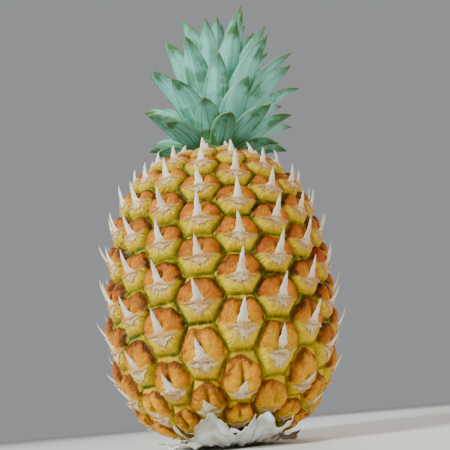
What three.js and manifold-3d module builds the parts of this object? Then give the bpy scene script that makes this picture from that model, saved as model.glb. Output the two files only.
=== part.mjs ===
// A whole pineapple standing upright on the cut end of its stalk.
// Millimetres, +Z up along the axis of the fruit, origin at the middle of the stalk's cut face.
// Four things grew here: the compound fruit with its papery bracts, the leafy crown,
// the cut stalk and the collar of dead leaves round the stalk.
import * as THREE from "three";
import { mergeVertices } from "three/addons/utils/BufferGeometryUtils.js";
import Module from "manifold-3d";

const wasm = await Module();
wasm.setup();

// Outline of the fruit: two half superellipses that meet at the widest ring
const FRUIT_RADIUS = 60;
const WIDEST_Z = 78.4;
const BELOW_WIDEST = 76;
const ABOVE_WIDEST = 75.6;
// The base is hollowed round the stalk up to this height
const BASE_HOLLOW_Z = 8.5;
const SQUARENESS_BELOW = 2.71;
const SQUARENESS_ABOVE = 2.93;

// Spiral of the eyes: each is one turn step clockwise of the last and one climb step higher
const EYE_TURN = 137.095;
const FIRST_EYE_ANGLE = -97.8;
const FIRST_EYE_ARC = -0.7;
const EYE_CLIMB = 0.906;
const EYE_CLIMB_CHANGE = -0.0012;
const LOWEST_EYE = -84;
const HIGHEST_EYE = 128;
// The rows of eyes stand higher on the -X side of the fruit
const ROW_TILT = 9;
const ROW_TILT_FADE = 30;
const ROW_TILT_END = 24;
// The low eyes on the front right are drawn out downwards, most at this angle and between these arc lengths
const DROOP = 9;
const DROOP_ANGLE = -60;
const DROOP_START = -34;
const DROOP_RISE = 14;
const DROOP_END = -74;
const DROOP_FALL = 26;

// Relief of one eye above the smooth outline, at the size that an eye has on the widest ring
const EYE_SIZE = 18.4;
const GROOVE_HEIGHT = -3.2;
const CENTRE_HEIGHT = 1.1;
// Points round the flat of the eye: share of the way from its middle to two groove corners, and height.
// The upper two lobes are swollen with a notch between them, and the lower shield slopes away.
const EYE_RIM = [
  { corners: [0, 0], share: 0.7, height: 0.5 },
  { corners: [1, 1], share: 0.7, height: 2 },
  { corners: [1, 2], share: 0.6, height: 0.7 },
  { corners: [2, 2], share: 0.7, height: 2 },
  { corners: [3, 3], share: 0.7, height: 0.5 },
  { corners: [4, 4], share: 0.7, height: -1 },
  { corners: [5, 5], share: 0.7, height: -1 },
];

// Papery bract that stands out of each eye, from a foot below the eye's middle
const BRACT_DROP = 2.1;
const BRACT_LENGTH = 10.5;
const BRACT_WIDTH = 5.4;
const BRACT_KEEL = 1.3;
const BRACT_BEND = 0.45;
const BRACT_BEND_LIFT = 3.2;
const BRACT_TIP_LIFT = 5;
// How much bracts differ: shares of their length and lift, and millimetres that the tip sways
const BRACT_LENGTH_SPREAD = 0.35;
const BRACT_LIFT_SPREAD = 0.4;
const BRACT_SWAY = 3;
// Down the fruit the bracts get shorter, broader and flatter, by these shares at the end of the fade
const LOW_BRACTS_ARC = -15;
const LOW_BRACTS_FADE = 45;
const LOW_BRACTS_SHORTER = 0.2;
const LOW_BRACTS_BROADER = 0.3;
const LOW_BRACTS_FLATTER = 0.5;
// The eyes that face the ground, within this arc length of the axis, have lost their bracts
const BARE_BASE = 48;
// So have those right under the crown, and the bracts get shorter towards them
const BARE_TOP = 30;
const SHORT_TOP = 52;
const SHORT_TOP_SHARE = 0.55;

// Crown: a short stem closely set with leaves, leaning a little towards +X
const CROWN_GAP = 1.2;
const CROWN_STEM_HEIGHT = 74;
const CROWN_STEM_RADII = [[0, 16], [0.15, 18], [0.45, 16], [0.75, 11], [1, 5]];
const CROWN_LEAN = 0.05;
const CROWN_OFFSET_X = 3;
const CROWN_LEAVES = 80;
const LEAF_TURN = -137.508;
const FIRST_LEAF_ANGLE = 335;
const LOWEST_LEAF = 0.04;
const HIGHEST_LEAF = 0.88;
const LEAF_WIDTH = 16.5;
const LEAF_THICKNESS = 0.9;
const LEAF_RIB = 0.7;
const LEAF_CHANNEL = 0.17;
const LEAF_ROOT_DEPTH = 2.5;
// How a crown leaf changes from the outermost (0) to the innermost (1)
const LEAF_LENGTHS = [[0, 28], [0.15, 31], [0.3, 46], [0.5, 52], [0.8, 64], [1, 46]];
const LEAF_START_ANGLES = [[0, 31], [0.15, 36], [0.3, 50], [0.5, 58], [0.75, 75], [1, 86]];
const LEAF_END_ANGLES = [[0, -28], [0.12, 12], [0.3, 22], [0.5, 43], [0.75, 64], [1, 84]];
// How much longer a leaf is on the +X side
const LEAF_SIDE_REACH = [[0, 1.05], [0.3, 1.38], [0.6, 1.12], [1, 1]];
const LEAF_WIDTHS = [[0, 0.85], [0.2, 1], [0.7, 1], [1, 0.8]];
// How one leaf narrows from its root (0) to its tip (1)
const LEAF_OUTLINE = [[0, 0.75], [0.3, 1], [0.55, 0.95], [0.8, 0.62], [1, 0.05]];
const LEAF_ROWS = [0, 0.28, 0.55, 0.8, 1];
const LEAF_BEND_POWER = 1.4;
// How much crown leaves differ: a share of their length, degrees at root and tip, and a share that they sway
const LEAF_LENGTH_SPREAD = 0.16;
const LEAF_START_SPREAD = 8;
const LEAF_END_SPREAD = 14;
const LEAF_SWAY = 0.12;

// Cut stalk under the fruit
const STALK_RADIUS = 15;
const STALK_TOP_RADIUS = 12.5;
const STALK_HEIGHT = 5.2;
const STALK_FOOT_HEIGHT = 1.2;

// Collar of dead papery leaves between the stalk and the base of the fruit
const COLLAR_LEAVES = 11;
const COLLAR_FIRST_ANGLE = -8;
const COLLAR_RING_INNER = 15.5;
const COLLAR_RING_OUTER = 18;
const COLLAR_RING_BOTTOM = 1;
const COLLAR_RING_TOP = 3.2;
const COLLAR_THICKNESS = 0.8;
const COLLAR_ROOT_RADIUS = 16.6;
const COLLAR_LEAF_WIDTH = 27;
const COLLAR_REACH = 9;
// The dead leaves are longest on the -Y side
const COLLAR_FRONT_REACH = 25;
// They lie low as far as the turn, then curl up along the base of the fruit and stay clear of it
const COLLAR_LOW_Z = 2;
const COLLAR_TURN = 29;
const COLLAR_CURL = 9;
const COLLAR_CLEARANCE = 3.2;
// How much dead leaves differ: degrees round the stalk, and millimetres in width, reach and torn end
const COLLAR_ANGLE_SPREAD = 14;
const COLLAR_WIDTH_SPREAD = 6;
const COLLAR_REACH_SPREAD = 4;
const COLLAR_TEAR = 4;

const RADIANS = Math.PI / 180;

// A repeatable draw between -0.5 and 0.5 for one item and one use
function draw(item, use) {
  const value = Math.sin(item * 12.9898 + use * 78.233) * 43758.5453;
  return value - Math.floor(value) - 0.5;
}

function smooth(value) {
  const x = Math.min(Math.max(value, 0), 1);
  return x * x * (3 - 2 * x);
}

function mix(a, b, share) {
  return a + (b - a) * share;
}

// Value of a polyline given as [x, y] points at x
function along(line, x) {
  let i = 1;
  while (i < line.length - 1 && line[i][0] < x) i += 1;
  const [x0, y0] = line[i - 1];
  const [x1, y1] = line[i];
  return mix(y0, y1, Math.min(Math.max((x - x0) / (x1 - x0), 0), 1));
}

// A closed body from triangles that are given as triples of points
function solidFrom(triangles) {
  const geometry = new THREE.BufferGeometry().setFromPoints(triangles.flat());
  const merged = mergeVertices(geometry, 1e-4);
  const corners = merged.index.array;
  const kept = [];
  for (let i = 0; i < corners.length; i += 3) {
    const [a, b, c] = corners.slice(i, i + 3);
    if (a !== b && b !== c && c !== a) kept.push(a, b, c);
  }
  return new wasm.Manifold(
    new wasm.Mesh({
      numProp: 3,
      vertProperties: merged.attributes.position.array,
      triVerts: new Uint32Array(kept),
    }),
  );
}

// The outer skin of a joined solid: hollows that joining sealed are filled and loose scraps dropped
function wholeBody(solid) {
  return solid.decompose().reduce((most, body) => (body.volume() > most.volume() ? body : most));
}

// The mesh of a solid, as one named node
function nodeFrom(name, solid, colour, roughness) {
  const mesh = solid.getMesh();
  const geometry = new THREE.BufferGeometry();
  geometry.setAttribute("position", new THREE.BufferAttribute(mesh.vertProperties, 3));
  geometry.setIndex(new THREE.BufferAttribute(mesh.triVerts, 1));
  geometry.computeVertexNormals();
  const material = new THREE.MeshStandardMaterial({ color: colour, roughness, metalness: 0 });
  const node = new THREE.Mesh(geometry, material);
  node.name = name;
  return node;
}

// Outline of the fruit as points with the arc length measured up from the widest ring
function fruitOutline() {
  const steps = 600;
  const line = [];
  for (let i = 0; i <= steps; i += 1) {
    const angle = (Math.PI * i) / steps;
    const across = Math.sin(angle);
    const down = Math.cos(angle);
    const power = 2 / (down > 0 ? SQUARENESS_BELOW : SQUARENESS_ABOVE);
    const half = down > 0 ? BELOW_WIDEST : ABOVE_WIDEST;
    const z = WIDEST_Z - half * Math.sign(down) * Math.abs(down) ** power;
    line.push({ r: FRUIT_RADIUS * Math.abs(across) ** power, z, arc: 0 });
  }
  for (let i = 1; i <= steps; i += 1) {
    const [a, b] = [line[i - 1], line[i]];
    b.arc = a.arc + Math.hypot(b.r - a.r, b.z - a.z);
  }
  const middle = line[steps / 2].arc;
  line.forEach((point) => {
    point.arc -= middle;
  });
  return line;
}

const OUTLINE = fruitOutline();
const BASE_ARC = OUTLINE[0].arc;
const TOP_ARC = OUTLINE[OUTLINE.length - 1].arc;

// Radius, height and outward normal of the smooth outline at an arc length
function outlineAt(arc) {
  let low = 0;
  let high = OUTLINE.length - 1;
  while (high - low > 1) {
    const half = (low + high) >> 1;
    if (OUTLINE[half].arc > arc) high = half;
    else low = half;
  }
  const [a, b] = [OUTLINE[low], OUTLINE[high]];
  const span = b.arc - a.arc;
  const share = Math.min(Math.max((arc - a.arc) / span, 0), 1);
  return {
    r: mix(a.r, b.r, share),
    z: mix(a.z, b.z, share),
    normalR: (b.z - a.z) / span,
    normalZ: (a.r - b.r) / span,
  };
}

// Height of the smooth outline below the widest ring at a radius
function outlineBaseZ(r) {
  const power = SQUARENESS_BELOW;
  return WIDEST_Z - BELOW_WIDEST * (1 - (r / FRUIT_RADIUS) ** power) ** (1 / power);
}

// Height at a radius that keeps the collar's clearance, measured square to the base of the fruit
function collarRoof(r) {
  const slope = outlineBaseZ(r + 0.5) - outlineBaseZ(r - 0.5);
  return outlineBaseZ(r) - COLLAR_CLEARANCE * Math.hypot(1, slope);
}

// The eyes form a lattice whose two short steps are 8 and 13 eyes along the spiral
const STEP_A = 8;
const STEP_B = 13;
const TURN_A = STEP_A * EYE_TURN - 3 * 360;
const TURN_B = STEP_B * EYE_TURN - 5 * 360;

// Where on the fruit a lattice position lies: angle in degrees and arc length
function latticePlace(a, b) {
  const eye = STEP_A * a + STEP_B * b;
  const angle = FIRST_EYE_ANGLE - TURN_A * a - TURN_B * b;
  const flat = FIRST_EYE_ARC + EYE_CLIMB * eye + EYE_CLIMB_CHANGE * eye * eye;
  const fromBase = Math.max(flat - BASE_ARC - ROW_TILT_END, 0);
  const fromTop = Math.max(TOP_ARC - flat - ROW_TILT_END, 0);
  const strength = (1 - Math.exp(-fromBase / ROW_TILT_FADE)) * (1 - Math.exp(-fromTop / ROW_TILT_FADE));
  const side = Math.max(Math.cos((angle - DROOP_ANGLE) * RADIANS), 0) ** 2;
  const low = smooth((DROOP_START - flat) / DROOP_RISE) * smooth((flat - DROOP_END) / DROOP_FALL);
  return { eye, angle, arc: flat - ROW_TILT * strength * Math.cos(angle * RADIANS) - DROOP * low * side };
}

// Eyes are smaller where the fruit is narrower
function eyeScale(r) {
  return Math.sqrt(2 * Math.PI * r * EYE_CLIMB) / EYE_SIZE;
}

// A point at an angle and arc length, raised from the smooth outline
function skinPoint({ angle, arc }, height) {
  const place = outlineAt(arc);
  const raised = height * eyeScale(place.r);
  const r = place.r + place.normalR * raised;
  const z = place.z + place.normalZ * raised;
  return new THREE.Vector3(r * Math.cos(angle * RADIANS), r * Math.sin(angle * RADIANS), z);
}

// The groove corner where three neighbouring eyes meet
function grooveCorner(...eyes) {
  const places = eyes.map(([a, b]) => latticePlace(a, b));
  const mean = (name) => places.reduce((sum, place) => sum + place[name], 0) / places.length;
  return { angle: mean("angle"), arc: mean("arc") };
}

// The six groove corners of an eye, anticlockwise as seen from outside, starting on its right
function eyeCorners(a, b) {
  return [
    grooveCorner([a, b], [a - 1, b], [a, b + 1]),
    grooveCorner([a, b], [a, b + 1], [a + 1, b + 1]),
    grooveCorner([a, b], [a + 1, b + 1], [a + 1, b]),
    grooveCorner([a, b], [a + 1, b], [a, b - 1]),
    grooveCorner([a, b], [a, b - 1], [a - 1, b - 1]),
    grooveCorner([a, b], [a - 1, b - 1], [a - 1, b]),
  ];
}

// Three points across a bract: its right edge, its left edge and its keel on the outer side
function bractRing(centre, side, keelward, width, keel) {
  return [
    centre.clone().addScaledVector(side, width / 2),
    centre.clone().addScaledVector(side, -width / 2),
    centre.clone().addScaledVector(keelward, keel),
  ];
}

// One eye: sides down to the groove, a rim of lobes and shield, and the bract that grows out of its middle
function eyeTriangles(a, b) {
  const middle = latticePlace(a, b);
  const scale = eyeScale(outlineAt(middle.arc).r);
  const corners = eyeCorners(a, b);
  const groove = corners.map((corner) => skinPoint(corner, GROOVE_HEIGHT));
  const rim = EYE_RIM.map(({ corners: [first, second], share, height }) => {
    const angle = (corners[first].angle + corners[second].angle) / 2;
    const arc = (corners[first].arc + corners[second].arc) / 2;
    return skinPoint({ angle: mix(middle.angle, angle, share), arc: mix(middle.arc, arc, share) }, height);
  });

  const footPlace = { angle: middle.angle, arc: middle.arc - BRACT_DROP * scale };
  const foot = skinPoint(footPlace, CENTRE_HEIGHT);
  const turned = middle.angle * RADIANS;
  const { normalR, normalZ } = outlineAt(footPlace.arc);
  const out = new THREE.Vector3(normalR * Math.cos(turned), normalR * Math.sin(turned), normalZ);
  const side = new THREE.Vector3(-Math.sin(turned), Math.cos(turned), 0);
  const up = new THREE.Vector3().crossVectors(out, side);
  const low = smooth((LOW_BRACTS_ARC - middle.arc) / LOW_BRACTS_FADE);
  const high = smooth((middle.arc - TOP_ARC + SHORT_TOP) / (SHORT_TOP - BARE_TOP));
  const shorter = (1 - LOW_BRACTS_SHORTER * low) * mix(1, SHORT_TOP_SHARE, high);
  const length = BRACT_LENGTH * scale * (1 + BRACT_LENGTH_SPREAD * draw(middle.eye, 1)) * shorter;
  const lift = (1 + BRACT_LIFT_SPREAD * draw(middle.eye, 2)) * (1 - LOW_BRACTS_FLATTER * low);
  const sway = BRACT_SWAY * draw(middle.eye, 3);
  const along = (share, outwards, sideways) =>
    foot
      .clone()
      .addScaledVector(up, length * share)
      .addScaledVector(out, outwards * scale)
      .addScaledVector(side, sideways * scale);
  const width = BRACT_WIDTH * scale * (1 + LOW_BRACTS_BROADER * low);
  const keel = BRACT_KEEL * scale;
  const root = bractRing(foot, side, up, width, -keel);
  const bendPlace = along(BRACT_BEND, BRACT_BEND_LIFT * lift, sway * 0.3);
  const bend = bractRing(bendPlace, side, out, width * 0.5, keel * 0.7);
  const tip = along(1, BRACT_TIP_LIFT * lift, sway);

  const triangles = [];
  // Each groove side meets the rim, which has one point more than the groove, at the notch
  const rimOf = [0, 1, 3, 4, 5, 6];
  for (let k = 0; k < 6; k += 1) {
    const next = (k + 1) % 6;
    const [from, to] = [rim[rimOf[k]], rim[rimOf[next]]];
    if (k === 1) {
      const notch = rim[2];
      triangles.push([groove[k], notch, from], [groove[k], groove[next], notch], [groove[next], to, notch]);
    } else {
      triangles.push([groove[k], groove[next], to], [groove[k], to, from]);
    }
  }
  if (middle.arc < BASE_ARC + BARE_BASE || middle.arc > TOP_ARC - BARE_TOP) {
    rim.forEach((point, k) => triangles.push([point, rim[(k + 1) % 7], foot]));
    return triangles;
  }
  const [right, left, under] = root;
  const inner = [right, left, left, left, under, under, right];
  for (let k = 0; k < 7; k += 1) {
    const next = (k + 1) % 7;
    triangles.push([rim[k], rim[next], inner[k]]);
    if (inner[next] !== inner[k]) triangles.push([inner[k], rim[next], inner[next]]);
  }
  for (let k = 0; k < 3; k += 1) {
    const next = (k + 1) % 3;
    triangles.push([root[k], root[next], bend[next]], [root[k], bend[next], bend[k]]);
    triangles.push([bend[k], bend[next], tip]);
  }
  return triangles;
}

// Every eye from the base to the crown, with both ends closed by a fan to the axis
function fruit() {
  const triangles = [];
  for (let b = 0; b < STEP_A; b += 1) {
    const first = Math.ceil((LOWEST_EYE - STEP_B * b) / STEP_A);
    const last = Math.floor((HIGHEST_EYE - STEP_B * b) / STEP_A);
    for (let a = first; a <= last; a += 1) triangles.push(...eyeTriangles(a, b));
  }

  const nameOf = (point) => point.toArray().map((value) => value.toFixed(3)).join();
  const open = new Map();
  for (const triangle of triangles) {
    triangle.forEach((point, k) => {
      const next = triangle[(k + 1) % 3];
      const [from, to] = [nameOf(point), nameOf(next)];
      if (!open.delete(`${to}|${from}`)) open.set(`${from}|${to}`, [point, next]);
    });
  }
  const base = new THREE.Vector3(0, 0, BASE_HOLLOW_Z);
  const top = new THREE.Vector3(0, 0, WIDEST_Z + ABOVE_WIDEST);
  for (const [from, to] of open.values()) triangles.push([to, from, from.z > WIDEST_Z ? top : base]);
  return solidFrom(triangles);
}

// A thin closed blade between an upper and a lower sheet of points, both split into triangles alike
function blade(upper, lower) {
  const triangles = [];
  const quad = (a, b, c, d) => triangles.push([a, b, c], [a, c, d]);
  const end = upper.length - 1;
  const last = upper[0].length - 1;
  for (let row = 0; row < end; row += 1) {
    for (let column = 0; column < last; column += 1) {
      quad(upper[row][column], upper[row][column + 1], upper[row + 1][column + 1], upper[row + 1][column]);
      triangles.push([lower[row][column], lower[row + 1][column + 1], lower[row][column + 1]]);
      triangles.push([lower[row][column], lower[row + 1][column], lower[row + 1][column + 1]]);
    }
    quad(upper[row][0], upper[row + 1][0], lower[row + 1][0], lower[row][0]);
    quad(lower[row][last], lower[row + 1][last], upper[row + 1][last], upper[row][last]);
  }
  for (let column = 0; column < last; column += 1) {
    quad(lower[0][column], lower[0][column + 1], upper[0][column + 1], upper[0][column]);
    quad(upper[end][column], upper[end][column + 1], lower[end][column + 1], lower[end][column]);
  }
  return solidFrom(triangles);
}

// Centre of the crown's stem at a share of its height
function crownAxis(share) {
  const z = WIDEST_Z + ABOVE_WIDEST + CROWN_GAP + CROWN_STEM_HEIGHT * share;
  return new THREE.Vector3(CROWN_OFFSET_X + CROWN_LEAN * CROWN_STEM_HEIGHT * share, 0, z);
}

// One crown leaf: it rises from the stem, bends outwards and is channelled along its upper side
function crownLeaf(k) {
  const share = k / (CROWN_LEAVES - 1);
  const angle = (FIRST_LEAF_ANGLE + LEAF_TURN * k) * RADIANS;
  const outwards = new THREE.Vector3(Math.cos(angle), Math.sin(angle), 0);
  const side = new THREE.Vector3(-Math.sin(angle), Math.cos(angle), 0);
  const sideReach = mix(1, along(LEAF_SIDE_REACH, share), Math.max(Math.cos(angle), 0));
  const length = along(LEAF_LENGTHS, share) * (1 + LEAF_LENGTH_SPREAD * draw(k, 11)) * sideReach;
  const start = along(LEAF_START_ANGLES, share) + LEAF_START_SPREAD * draw(k, 12);
  const end = along(LEAF_END_ANGLES, share) + LEAF_END_SPREAD * draw(k, 13);
  const width = LEAF_WIDTH * along(LEAF_WIDTHS, share);
  const sway = LEAF_SWAY * draw(k, 14);
  const stemShare = mix(LOWEST_LEAF, HIGHEST_LEAF, share);

  const rootRadius = along(CROWN_STEM_RADII, stemShare) - LEAF_ROOT_DEPTH;
  const centre = crownAxis(stemShare).addScaledVector(outwards, rootRadius);
  const upper = [];
  const lower = [];
  const stepsPerRow = 6;
  LEAF_ROWS.forEach((t, row) => {
    if (row > 0) {
      const span = (t - LEAF_ROWS[row - 1]) / stepsPerRow;
      for (let step = 0; step < stepsPerRow; step += 1) {
        const here = LEAF_ROWS[row - 1] + span * (step + 0.5);
        const rise = mix(start, end, here ** LEAF_BEND_POWER) * RADIANS;
        centre.addScaledVector(outwards, Math.cos(rise) * length * span);
        centre.addScaledVector(side, sway * here * length * span);
        centre.z += Math.sin(rise) * length * span;
        centre.x += CROWN_LEAN * Math.sin(rise) * length * span;
      }
    }
    const rise = mix(start, end, t ** LEAF_BEND_POWER) * RADIANS;
    const above = outwards.clone().multiplyScalar(-Math.sin(rise));
    above.z += Math.cos(rise);
    const half = (width / 2) * along(LEAF_OUTLINE, t);
    const cup = LEAF_CHANNEL * 2 * half;
    const at = (sideways, up) => centre.clone().addScaledVector(side, sideways).addScaledVector(above, up);
    const edge = LEAF_THICKNESS / 2;
    const rib = edge + LEAF_RIB * (1 - t);
    upper.push([at(half, cup + edge), at(0, edge), at(-half, cup + edge)]);
    lower.push([at(half, cup - edge), at(0, -rib), at(-half, cup - edge)]);
  });
  return blade(upper, lower);
}

// A solid turned round a straight axis between rings given as [centre, radius]
function turned(rings, sides) {
  const circle = ([centre, radius]) =>
    Array.from({ length: sides }, (_, k) => {
      const angle = (2 * Math.PI * k) / sides;
      const outwards = new THREE.Vector3(Math.cos(angle), Math.sin(angle), 0);
      return centre.clone().addScaledVector(outwards, radius);
    });
  const loops = rings.map(circle);
  const triangles = [];
  for (let k = 0; k < sides; k += 1) {
    const next = (k + 1) % sides;
    for (let row = 0; row + 1 < loops.length; row += 1) {
      const [low, high] = [loops[row], loops[row + 1]];
      triangles.push([low[k], low[next], high[next]], [low[k], high[next], high[k]]);
    }
    triangles.push([rings[0][0], loops[0][next], loops[0][k]]);
    triangles.push([rings[rings.length - 1][0], loops[loops.length - 1][k], loops[loops.length - 1][next]]);
  }
  return solidFrom(triangles);
}

function crown() {
  const stem = turned(
    CROWN_STEM_RADII.map(([share, radius]) => [crownAxis(share), radius]),
    14,
  );
  const leaves = Array.from({ length: CROWN_LEAVES }, (_, k) => crownLeaf(k));
  return wholeBody(wasm.Manifold.union([stem, ...leaves]));
}

function stalk() {
  const ring = (r, z) => [new THREE.Vector3(0, 0, z), r];
  const foot = [ring(STALK_RADIUS, 0), ring(STALK_RADIUS, STALK_FOOT_HEIGHT)];
  return turned([...foot, ring(STALK_TOP_RADIUS, STALK_HEIGHT)], 36);
}

// One dead leaf of the collar: broad, torn at its end, lying under the base of the fruit
function collarLeaf(k) {
  const degrees = COLLAR_FIRST_ANGLE + (360 / COLLAR_LEAVES) * k + COLLAR_ANGLE_SPREAD * draw(k, 21);
  const angle = degrees * RADIANS;
  const front = Math.max(-Math.sin(angle), 0) ** 2;
  const reach = COLLAR_REACH + COLLAR_FRONT_REACH * front + COLLAR_REACH_SPREAD * draw(k, 22);
  const width = COLLAR_LEAF_WIDTH + COLLAR_WIDTH_SPREAD * draw(k, 23);
  const columns = 5;
  const rows = 5;
  const upper = [];
  const lower = [];
  for (let row = 0; row < rows; row += 1) {
    const t = row / (rows - 1);
    const [upperRow, lowerRow] = [[], []];
    for (let column = 0; column < columns; column += 1) {
      const s = column / (columns - 1) - 0.5;
      const torn = row === rows - 1 ? COLLAR_TEAR * draw(k * 7 + column, 24) : 0;
      const r = COLLAR_ROOT_RADIUS + (reach + torn) * t;
      const spread = angle - (s * width * (1 - 0.1 * t)) / (r + 6);
      const wave = 0.5 + 0.5 * Math.sin(9 * s + 5 * t + 6 * draw(k, 25));
      const curl = smooth((r - COLLAR_TURN) / COLLAR_CURL) * (0.75 + 0.25 * wave);
      const z = mix(COLLAR_LOW_Z + wave * t, collarRoof(r), curl);
      const at = (height) => new THREE.Vector3(r * Math.cos(spread), r * Math.sin(spread), height);
      upperRow.push(at(z + COLLAR_THICKNESS / 2));
      lowerRow.push(at(z - COLLAR_THICKNESS / 2));
    }
    upper.push(upperRow);
    lower.push(lowerRow);
  }
  return blade(upper, lower);
}

function collar() {
  const ring = (r, z) => [new THREE.Vector3(0, 0, z), r];
  const tube = (r, bottom, top) => turned([ring(r, bottom), ring(r, top)], 30);
  const outer = tube(COLLAR_RING_OUTER, COLLAR_RING_BOTTOM, COLLAR_RING_TOP);
  const hole = tube(COLLAR_RING_INNER, COLLAR_RING_BOTTOM - 1, COLLAR_RING_TOP + 3);
  const leaves = Array.from({ length: COLLAR_LEAVES }, (_, k) => collarLeaf(k));
  return wholeBody(wasm.Manifold.union([outer, ...leaves]).subtract(hole));
}

const group = new THREE.Group();
group.name = "pineapple";
group.add(
  nodeFrom("fruit", fruit(), 0xd98a2b, 0.6),
  nodeFrom("crown", crown(), 0x8fbfa5, 0.6),
  nodeFrom("stalk", stalk(), 0xa08a5f, 0.9),
  nodeFrom("collar", collar(), 0xcfc9b8, 0.9),
);

export default group;
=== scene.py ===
"""The looks of a whole pineapple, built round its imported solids.

Lengths are millimetres, as in the part's source, and turn into metres when a mesh is made.
Materials, lights and the camera are in metres.
The places of eyes, bracts and leaves repeat the formulas of the part's source,
so every finer piece keeps its solid's form.
"""

import math

import bmesh
import bpy
import numpy as np
from mathutils import Matrix, Vector


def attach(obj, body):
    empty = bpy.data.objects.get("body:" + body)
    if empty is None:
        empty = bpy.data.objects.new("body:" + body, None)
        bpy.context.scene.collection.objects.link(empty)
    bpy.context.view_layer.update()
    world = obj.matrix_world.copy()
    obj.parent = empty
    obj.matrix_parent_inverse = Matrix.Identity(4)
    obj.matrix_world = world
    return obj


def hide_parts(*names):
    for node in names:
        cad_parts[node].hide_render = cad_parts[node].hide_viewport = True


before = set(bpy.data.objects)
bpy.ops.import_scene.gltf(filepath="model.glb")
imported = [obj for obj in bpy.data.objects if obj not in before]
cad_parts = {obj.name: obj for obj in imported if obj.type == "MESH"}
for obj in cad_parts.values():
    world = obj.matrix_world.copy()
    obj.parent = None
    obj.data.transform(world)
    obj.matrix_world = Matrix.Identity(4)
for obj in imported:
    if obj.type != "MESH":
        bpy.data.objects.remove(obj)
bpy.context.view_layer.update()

MM = 0.001

# Outline of the fruit: two half superellipses that meet at the widest ring
FRUIT_RADIUS = 60
WIDEST_Z = 78.4
BELOW_WIDEST = 76
ABOVE_WIDEST = 75.6
BASE_HOLLOW_Z = 8.5
SQUARENESS_BELOW = 2.71
SQUARENESS_ABOVE = 2.93
OUTLINE_STEPS = 600

# Spiral of the eyes: each is one turn step clockwise of the last and one climb step higher
EYE_TURN = 137.095
FIRST_EYE_ANGLE = -97.8
FIRST_EYE_ARC = -0.7
EYE_CLIMB = 0.906
EYE_CLIMB_CHANGE = -0.0012
LOWEST_EYE = -84
HIGHEST_EYE = 128
# The two spirals whose steps carry one eye to its neighbours
STEP_A = 8
STEP_B = 13
TURN_A = STEP_A * EYE_TURN - 3 * 360
TURN_B = STEP_B * EYE_TURN - 5 * 360
# The rows of eyes stand higher on the -X side of the fruit
ROW_TILT = 9
ROW_TILT_FADE = 30
ROW_TILT_END = 24
# The low eyes on the front right are drawn out downwards
DROOP = 9
DROOP_ANGLE = -60
DROOP_START = -34
DROOP_RISE = 14
DROOP_END = -74
DROOP_FALL = 26

# Relief of one eye above the smooth outline, at the size that an eye has on the widest ring.
# The grooves of the part's source are 0.6 mm deeper.
EYE_SIZE = 18.4
GROOVE_HEIGHT = -2.6
CENTRE_HEIGHT = 1.1
# Where the papery line crosses an eye, from -1 at its foot to 1 at its top
FRINGE_Y = -0.22
# Shares of the way from an eye's middle to its groove at which its mesh has a ring
EYE_RINGS = (0.12, 0.25, 0.38, 0.5, 0.61, 0.71, 0.8, 0.87, 0.93, 0.97, 1)
POINTS_PER_SIDE = 7
# Lobes: a dome that is swollen on both sides of a crease, which is notched and has a pit
DOME_HALF_WIDTH = 0.9
DOME_TOP = 1.03
DOME_POWER = 2.3
DOME_FOOT_HEIGHT = -1.2
DOME_HEIGHT = 3.0
LOBE_OUT = 0.42
LOBE_UP = 0.5
LOBE_SWELL = 0.8
CREASE_DEPTH = 0.3
NOTCH_DEPTH = 1.2
PIT_UP = 0.42
PIT_DEPTH = 1.6
UNDERCUT_DEPTH = 0.7
# Shield: slopes away below, with ridges that fan out from a boss under the bract
SHIELD_HEIGHT = 0.9
SHIELD_SLOPE = 0.5
SHIELD_FALL = 1.7
SHIELD_ROUND = 0.7
SHIELD_RIDGES = 12
RIDGE_HEIGHT = 0.25
BOSS_HEIGHT = 0.8
# Spread of an eye's lean and height, and shares of the way out at which its groove starts
EYE_LEAN_SPREAD = 0.4
EYE_HEIGHT_SPREAD = 0.5
SHIELD_EDGE = 0.72
LOBE_EDGE = 0.84

# Papery bract of each eye, from a foot below the eye's middle
BRACT_DROP = 2.1
BRACT_LENGTH = 10.5
BRACT_LENGTH_SPREAD = 0.35
BRACT_LIFT_SPREAD = 0.4
BRACT_SWAY = 3
BRACT_WIDTH = 5.4
BRACT_KEEL = 1.3
BRACT_TIP_LIFT = 5
BRACT_TIP_POWER = 1.71
# Shares of a bract's length at which its mesh starts, inside the eye, and ends
BRACT_ROOT = -0.12
BRACT_END = 0.96
BRACT_ROOT_DEPTH = 6
BRACT_FOOT_LIFT = 0.6
BRACT_THICKNESS = 0.16
LOW_BRACTS_ARC = -15
LOW_BRACTS_FADE = 45
LOW_BRACTS_SHORTER = 0.2
LOW_BRACTS_BROADER = 0.3
LOW_BRACTS_FLATTER = 0.5
BARE_BASE = 48
BARE_TOP = 30
SHORT_TOP = 52
SHORT_TOP_SHARE = 0.55

# Papery fringe at the foot of each bract, in shares of its eye's half width and half height
FRINGE_HALF_WIDTH = 0.64
FRINGE_RISE = 0.10
SKIRT_LENGTH = 0.34
SKIRT_LENGTH_SPREAD = 0.24
SKIRT_LONGER_LOW = 0.12
FRINGE_THICKNESS = 0.1

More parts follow.
